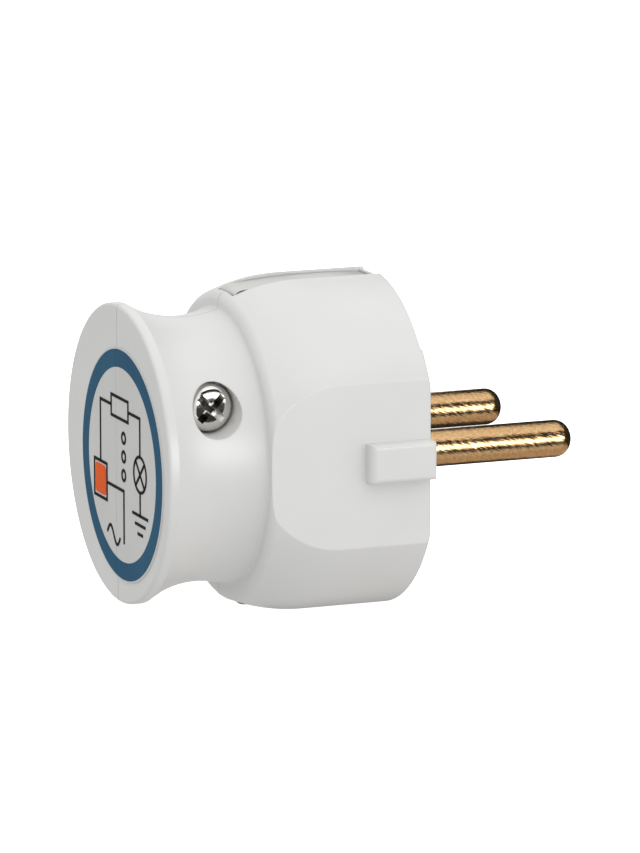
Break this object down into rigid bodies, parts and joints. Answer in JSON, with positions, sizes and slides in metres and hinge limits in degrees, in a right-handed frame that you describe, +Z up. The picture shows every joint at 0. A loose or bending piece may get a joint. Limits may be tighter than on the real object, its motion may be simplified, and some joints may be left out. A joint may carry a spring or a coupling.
{
  "type": "outlet tester plug",
  "caption": "Round side-earth test plug with brass pins, a moulded mushroom grip, a screwed split housing and a glow lamp behind its face label.",
  "frame": {"origin": "centre of the engagement face, on the plug's axis", "axes": "+X along the axis towards the pin tips, +Z up with the earth strip at top and bottom, -Y towards the half that carries the screw head"},
  "size_m": [0.048, 0.0346, 0.0358],
  "materials": {
    "housing": "satin moulded warm white",
    "plated_steel": "bright nickel plate",
    "insulator": "moulded thermoset",
    "pin_brass": "drawn and lightly scratched",
    "earth_metal": "nickel plated strip",
    "board": "green laminate",
    "resistor_body": "lacquered ceramic",
    "lamp_glass": "clear glass",
    "electrode_metal": "drawn wire",
    "lamp_cup": "moulded black",
    "light_pipe": "clear orange acrylic",
    "solder": "bright tin",
    "label": "printed film"
  },
  "bodies": {
    "plug_body": {"far_shell": "housing", "housing_nut": "plated_steel", "pin_carrier": "insulator", "line_pin": "pin_brass", "neutral_pin": "pin_brass", "clamp_plate": "insulator", "clamp_screws": "plated_steel", "earth_bracket": "earth_metal", "circuit_board": "board", "line_resistor": "resistor_body", "earth_resistor": "resistor_body", "lamp_glass": "lamp_glass", "lamp_electrodes": "electrode_metal", "lamp_holder": "lamp_cup", "light_pipe": "light_pipe", "solder_joints": "solder", "face_label": "label"},
    "near_half": {"near_shell": "housing"},
    "washer": {"screw_washer": "plated_steel"},
    "screw": {"housing_screw": "plated_steel"}
  },
  "joints": [
    {"name": "near_half_lift", "type": "slide", "parent": "plug_body", "child": "near_half", "axis": [0, -1, 0], "range_m": [0, 0.03]},
    {"name": "washer_travel", "type": "slide", "parent": "near_half", "child": "washer", "axis": [0, -1, 0], "range_m": [0, 0.0035]},
    {"name": "screw_turn", "type": "hinge", "parent": "washer", "child": "screw", "pos_m": [-0.0229, 0, 0.0064], "axis": [0, -1, 0], "range_deg": [0, 2520]}
  ],
  "couplings": [
    {"joint": "screw_turn", "follows": "washer_travel", "rad_per_m": 12566}
  ]
}
